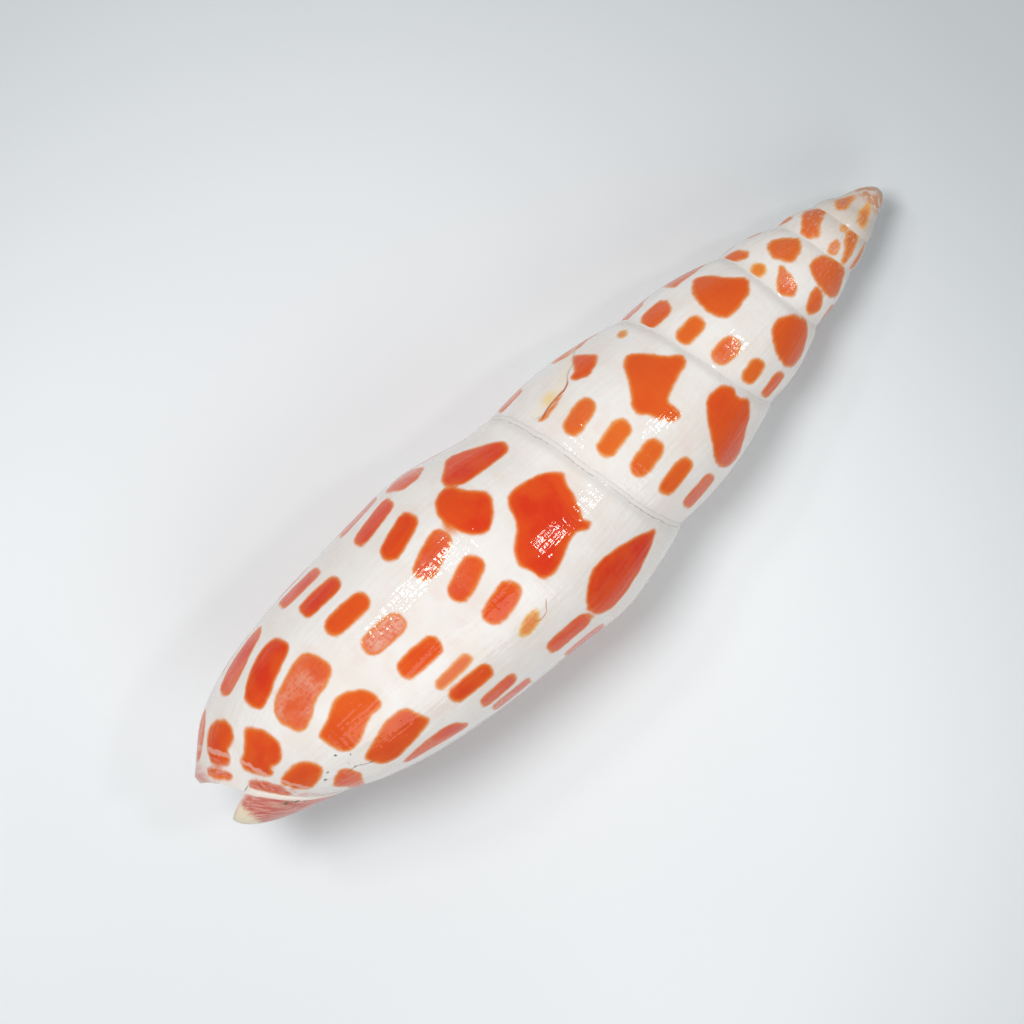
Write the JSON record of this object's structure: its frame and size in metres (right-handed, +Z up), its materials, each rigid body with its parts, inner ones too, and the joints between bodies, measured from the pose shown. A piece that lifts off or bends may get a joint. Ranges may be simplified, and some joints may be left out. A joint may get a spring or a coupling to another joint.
{
  "type": "episcopal miter shell",
  "caption": "Tall right-handed spiral sea shell lying on its aperture side, open at the aperture and siphonal notch, white with orange spots.",
  "frame": {"origin": "middle of the shell's box on the table, as it lies on its aperture side", "axes": "+X along the shell towards the apex, +Y towards the side of the outer lip, +Z up"},
  "size_m": [0.1088, 0.031, 0.0316],
  "materials": {
    "shell": "gloss"
  },
  "bodies": {
    "root": {"shell": "shell"}
  },
  "joints": []
}
